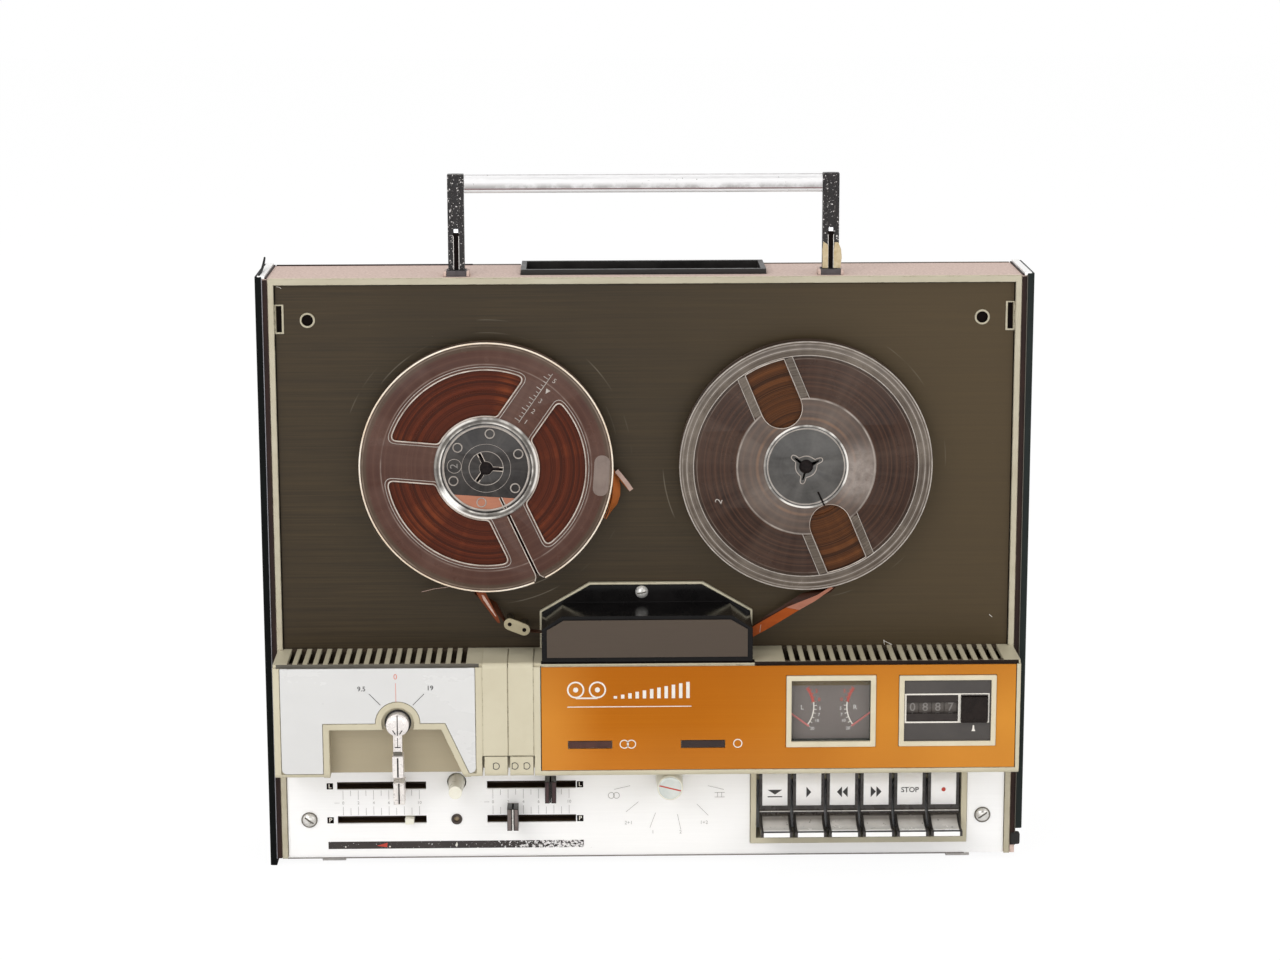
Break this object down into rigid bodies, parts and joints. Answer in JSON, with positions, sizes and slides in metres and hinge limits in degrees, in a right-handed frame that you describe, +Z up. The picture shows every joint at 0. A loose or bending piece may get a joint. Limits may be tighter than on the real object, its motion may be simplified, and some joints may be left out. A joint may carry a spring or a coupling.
{
  "type": "reel-to-reel tape recorder",
  "caption": "Upright mains tape recorder with two reels on a dark deck, a front console with meter and counter, slide controls, piano keys and a carrying handle.",
  "frame": {"origin": "middle of the footprint, on the surface that the recorder stands on", "axes": "+Z up, +X to the right as seen from the front, -Y out of the front"},
  "size_m": [0.4488, 0.1704, 0.4108],
  "materials": {
    "mauve_vinyl": "grained vinyl",
    "ivory_plastic": "satin",
    "black_plastic": "satin",
    "gloss_black": "gloss",
    "deck_metal": "fine brushed, metallic",
    "satin_strip": "satin",
    "orange_metal": "brushed, anodised",
    "white_fascia": "gloss",
    "bright_metal": "polished",
    "steel": "satin",
    "rubber": "matte",
    "reel_plastic": "clear, slightly smoky",
    "tape": "satin",
    "white_plastic": "gloss",
    "olive_inset": "brushed, metallic",
    "lens": "clear",
    "needle_red": "matte",
    "copper_core": "varnished",
    "board": "matte"
  },
  "bodies": {
    "case": {"cabinet_sleeve": "mauve_vinyl", "front_frame": "ivory_plastic", "side_trim_left": "black_plastic", "side_trim_right": "black_plastic", "rear_cover": "ivory_plastic", "socket_panel": "black_plastic", "foot_left": "rubber", "foot_right": "rubber", "grip_tray": "black_plastic", "deck_plate": "deck_metal", "control_strip": "satin_strip", "chassis_plate": "steel", "console_housing": "ivory_plastic", "speed_fascia": "white_fascia", "meter_fascia": "orange_metal", "meter_housing": "black_plastic", "meter_lens": "lens", "counter_plate": "black_plastic", "circuit_board": "board", "headphone_jack": "bright_metal", "key_bezel": "ivory_plastic", "head_cover": "gloss_black", "head_cover_inset": "olive_inset", "tape_heads": "steel", "tape_guide": "ivory_plastic", "tape_run": "tape", "motor": "steel", "drive_belt": "rubber", "mains_transformer": "copper_core"},
    "handle": {"handle_frame": "black_plastic", "handle_grip": "bright_metal"},
    "left_spool": {"turntable_left": "black_plastic", "reel_left": "reel_plastic", "tape_pack_left": "tape"},
    "right_spool": {"turntable_right": "black_plastic", "reel_right": "reel_plastic", "tape_pack_right": "tape"},
    "capstan_flywheel": {"capstan_flywheel": "steel"},
    "motor_pulley": {"motor_pulley": "steel"},
    "pinch_arm": {"pinch_arm": "steel"},
    "pinch_roller": {"pinch_roller": "rubber"},
    "speed_lever": {"speed_lever": "bright_metal"},
    "function_knob": {"function_knob": "white_plastic"},
    "fader_upper_left": {"fader_upper_left": "bright_metal"},
    "fader_lower_left": {"fader_lower_left": "ivory_plastic"},
    "fader_upper_right": {"fader_upper_right": "black_plastic"},
    "fader_lower_right": {"fader_lower_right": "black_plastic"},
    "push_button": {"push_button": "white_plastic"},
    "push_tip_left": {"push_tip_left": "ivory_plastic"},
    "push_tip_right": {"push_tip_right": "ivory_plastic"},
    "key_pause": {"key_pause": "black_plastic"},
    "key_play": {"key_play": "black_plastic"},
    "key_rewind": {"key_rewind": "black_plastic"},
    "key_forward": {"key_forward": "black_plastic"},
    "key_stop": {"key_stop": "black_plastic"},
    "key_record": {"key_record": "black_plastic"},
    "counter_reset": {"counter_reset": "black_plastic"},
    "counter_wheels": {"counter_wheels": "black_plastic"},
    "needle_left": {"needle_left": "needle_red"},
    "needle_right": {"needle_right": "needle_red"}
  },
  "joints": [
    {"name": "handle_slide", "type": "slide", "parent": "case", "child": "handle", "axis": [0, 0, 1], "range_m": [-0.044, 0]},
    {"name": "left_spool_spin", "type": "hinge", "parent": "case", "child": "left_spool", "pos_m": [-0.0925, -0.0431, 0.2431], "axis": [0, 1, 0], "continuous": true},
    {"name": "right_spool_spin", "type": "hinge", "parent": "case", "child": "right_spool", "pos_m": [0.0925, -0.0431, 0.2431], "axis": [0, 1, 0], "continuous": true},
    {"name": "capstan_spin", "type": "hinge", "parent": "case", "child": "capstan_flywheel", "pos_m": [0.03, -0.0431, 0.14], "axis": [0, 1, 0], "continuous": true},
    {"name": "motor_spin", "type": "hinge", "parent": "case", "child": "motor_pulley", "pos_m": [-0.045, -0.0431, 0.14], "axis": [0, 1, 0], "continuous": true},
    {"name": "pinch_arm_swing", "type": "hinge", "parent": "case", "child": "pinch_arm", "pos_m": [0.046, -0.0431, 0.1515], "axis": [0, -1, 0], "range_deg": [0, 7], "stiffness_Nm_per_rad": 0.05, "springref_deg": -11.46},
    {"name": "pinch_roller_spin", "type": "hinge", "parent": "pinch_arm", "child": "pinch_roller", "pos_m": [0.03, -0.0431, 0.1515], "axis": [0, 1, 0], "continuous": true},
    {"name": "speed_lever_turn", "type": "hinge", "parent": "case", "child": "speed_lever", "pos_m": [-0.1448, -0.0431, 0.0974], "axis": [0, 1, 0], "range_deg": [-45, 45]},
    {"name": "function_knob_turn", "type": "hinge", "parent": "case", "child": "function_knob", "pos_m": [0.0135, -0.0431, 0.0526], "axis": [0, 1, 0], "range_deg": [0, 153]},
    {"name": "fader_upper_left_slide", "type": "slide", "parent": "case", "child": "fader_upper_left", "axis": [1, 0, 0], "range_m": [-0.0345, 0.0119]},
    {"name": "fader_lower_left_slide", "type": "slide", "parent": "case", "child": "fader_lower_left", "axis": [1, 0, 0], "range_m": [-0.0397, 0.0067]},
    {"name": "fader_upper_right_slide", "type": "slide", "parent": "case", "child": "fader_upper_right", "axis": [1, 0, 0], "range_m": [-0.0347, 0.0117]},
    {"name": "fader_lower_right_slide", "type": "slide", "parent": "case", "child": "fader_lower_right", "axis": [1, 0, 0], "range_m": [-0.0123, 0.0341]},
    {"name": "push_button_press", "type": "slide", "parent": "case", "child": "push_button", "axis": [0, 1, 0], "range_m": [0, 0.004], "stiffness_N_per_m": 200, "springref_m": -0.004},
    {"name": "push_tip_left_press", "type": "slide", "parent": "case", "child": "push_tip_left", "axis": [0, 1, 0], "range_m": [0, 0.004], "stiffness_N_per_m": 200, "springref_m": -0.004},
    {"name": "push_tip_right_press", "type": "slide", "parent": "case", "child": "push_tip_right", "axis": [0, 1, 0], "range_m": [0, 0.004], "stiffness_N_per_m": 200, "springref_m": -0.004},
    {"name": "key_pause_press", "type": "hinge", "parent": "case", "child": "key_pause", "pos_m": [0.0766, -0.0336, 0.05], "axis": [1, 0, 0], "range_deg": [0, 6], "stiffness_Nm_per_rad": 0.1, "springref_deg": -8.59},
    {"name": "key_play_press", "type": "hinge", "parent": "case", "child": "key_play", "pos_m": [0.0766, -0.0336, 0.05], "axis": [1, 0, 0], "range_deg": [0, 6], "stiffness_Nm_per_rad": 0.1, "springref_deg": -8.59},
    {"name": "key_rewind_press", "type": "hinge", "parent": "case", "child": "key_rewind", "pos_m": [0.0766, -0.0336, 0.05], "axis": [1, 0, 0], "range_deg": [0, 6], "stiffness_Nm_per_rad": 0.1, "springref_deg": -8.59},
    {"name": "key_forward_press", "type": "hinge", "parent": "case", "child": "key_forward", "pos_m": [0.0766, -0.0336, 0.05], "axis": [1, 0, 0], "range_deg": [0, 6], "stiffness_Nm_per_rad": 0.1, "springref_deg": -8.59},
    {"name": "key_stop_press", "type": "hinge", "parent": "case", "child": "key_stop", "pos_m": [0.0766, -0.0336, 0.05], "axis": [1, 0, 0], "range_deg": [0, 6], "stiffness_Nm_per_rad": 0.1, "springref_deg": -8.59},
    {"name": "key_record_press", "type": "hinge", "parent": "case", "child": "key_record", "pos_m": [0.0766, -0.0336, 0.05], "axis": [1, 0, 0], "range_deg": [0, 6], "stiffness_Nm_per_rad": 0.1, "springref_deg": -8.59},
    {"name": "counter_reset_press", "type": "slide", "parent": "case", "child": "counter_reset", "axis": [0, 1, 0], "range_m": [0, 0.004], "stiffness_N_per_m": 200, "springref_m": -0.004},
    {"name": "counter_spin", "type": "hinge", "parent": "case", "child": "counter_wheels", "pos_m": [0.165, -0.0674, 0.1042], "axis": [1, 0, 0], "continuous": true},
    {"name": "needle_left_swing", "type": "hinge", "parent": "case", "child": "needle_left", "pos_m": [0.0785, -0.0431, 0.1042], "axis": [0, -1, 0], "range_deg": [0, 74], "stiffness_Nm_per_rad": 0.0005, "springref_deg": -17.19},
    {"name": "needle_right_swing", "type": "hinge", "parent": "case", "child": "needle_right", "pos_m": [0.1345, -0.0431, 0.1042], "axis": [0, 1, 0], "range_deg": [0, 74], "stiffness_Nm_per_rad": 0.0005, "springref_deg": -17.19}
  ],
  "couplings": [
    {"joint": "motor_spin", "follows": "capstan_spin", "ratio": 5.25},
    {"joint": "counter_spin", "follows": "right_spool_spin", "ratio": 0.1}
  ]
}
